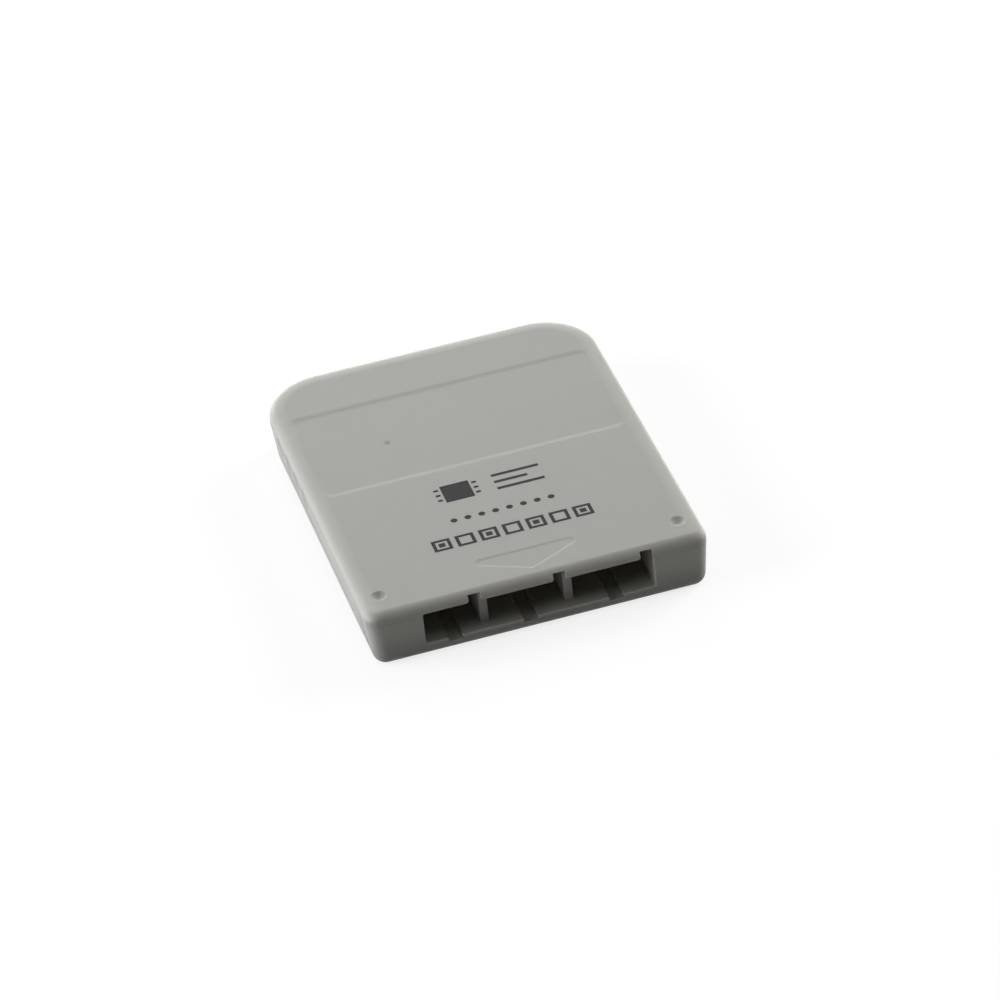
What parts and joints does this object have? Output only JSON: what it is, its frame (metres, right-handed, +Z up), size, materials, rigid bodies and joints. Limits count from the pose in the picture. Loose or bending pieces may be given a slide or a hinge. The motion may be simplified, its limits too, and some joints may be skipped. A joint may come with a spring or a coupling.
{
  "type": "memory card",
  "caption": "Flat grey moulded memory card for a game console, with a label recess, grip scallops along the sides and a keyed, chambered connector mouth across one end",
  "frame": {"origin": "middle of the underside", "axes": "+X to the right seen from the connector end with the label side up, +Y from the connector end to the grip end, +Z up out of the label side"},
  "size_m": [0.0426, 0.054, 0.0076],
  "materials": {
    "grey_plastic": "fine satin, as moulded",
    "board_laminate": "green lacquer over glass cloth",
    "contact_gold": "plated, polished",
    "chip_resin": "matt moulding resin",
    "capacitor_ceramic": "fired, matt",
    "resonator_can": "drawn can",
    "print_ink": "thin dark pad print, matt"
  },
  "bodies": {
    "root": {"upper_shell": "grey_plastic", "lower_shell": "grey_plastic", "circuit_board": "board_laminate", "contact_1": "contact_gold", "contact_2": "contact_gold", "contact_3": "contact_gold", "contact_4": "contact_gold", "contact_5": "contact_gold", "contact_6": "contact_gold", "contact_7": "contact_gold", "contact_8": "contact_gold", "controller_chip": "chip_resin", "memory_chip": "chip_resin", "resistor_1": "chip_resin", "resistor_2": "chip_resin", "resistor_3": "chip_resin", "capacitor_1": "capacitor_ceramic", "capacitor_2": "capacitor_ceramic", "capacitor_3": "capacitor_ceramic", "resonator": "resonator_can"}
  },
  "joints": []
}
